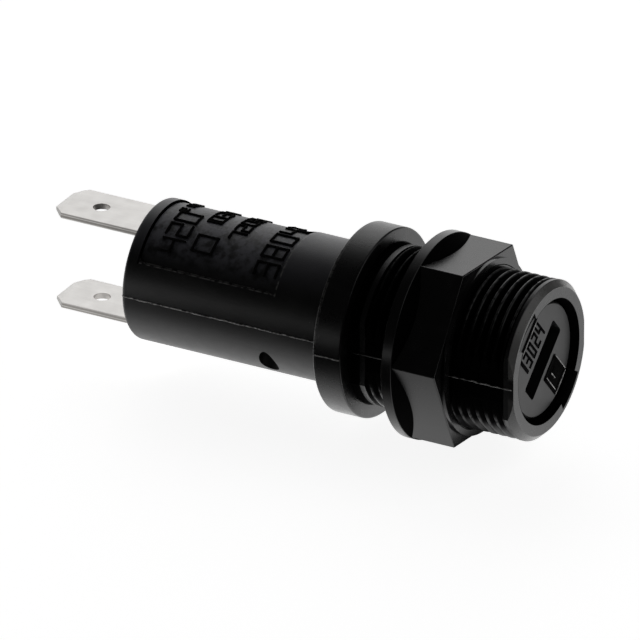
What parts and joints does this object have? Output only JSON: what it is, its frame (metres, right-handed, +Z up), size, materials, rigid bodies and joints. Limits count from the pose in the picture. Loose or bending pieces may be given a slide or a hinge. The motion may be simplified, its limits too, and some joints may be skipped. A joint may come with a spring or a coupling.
{
  "type": "panel mount fuse holder",
  "caption": "Black moulded fuse holder for a panel: threaded barrel with hexagon nut, slotted turn-to-release cap, rear tube and two flat push-on tabs.",
  "frame": {"origin": "centre of the flange's front face, on the barrel's axis, where the holder seats on the back of the panel", "axes": "-Y runs along the barrel towards the user, +Y towards the tabs, +Z up through the first tab, +X square to both and to the barrel's flats"},
  "size_m": [0.017, 0.0441, 0.017],
  "materials": {
    "black_plastic": "fine-grained moulded black, semi-matt",
    "nut_plastic": "smooth moulded black, semi-matt",
    "cap_plastic": "moulded black with a satin face",
    "tinned_brass": "satin tin plate with sheared edges",
    "plated_brass": "bright nickel plate",
    "spring_wire": "drawn wire",
    "melting_wire": "fine drawn wire",
    "fuse_glass": "clear drawn glass"
  },
  "bodies": {
    "holder": {"housing": "black_plastic", "rear_terminal": "tinned_brass", "side_terminal": "tinned_brass", "contact_spring": "spring_wire"},
    "plunger": {"contact_plunger": "plated_brass"},
    "fuse": {"fuse_glass_tube": "fuse_glass", "fuse_front_cap": "plated_brass", "fuse_rear_cap": "plated_brass", "fuse_wire": "melting_wire"},
    "cap": {"fuse_carrier": "cap_plastic", "carrier_contact": "plated_brass"},
    "nut": {"hex_nut": "nut_plastic"}
  },
  "joints": [
    {"name": "plunger_press", "type": "slide", "parent": "holder", "child": "plunger", "axis": [0, 1, 0], "range_m": [0, 0.0012], "stiffness_N_per_m": 1800, "springref_m": -0.002, "deforming": ["contact_spring"]},
    {"name": "carrier_withdraw", "type": "slide", "parent": "holder", "child": "fuse", "axis": [0, -1, 0], "range_m": [0, 0.035]},
    {"name": "cap_turn", "type": "hinge", "parent": "fuse", "child": "cap", "pos_m": [0, 0, 0], "axis": [0, 1, 0], "range_deg": [0, 60]},
    {"name": "nut_travel", "type": "slide", "parent": "holder", "child": "nut", "axis": [0, -1, 0], "range_m": [-0.004, 0.016]}
  ]
}
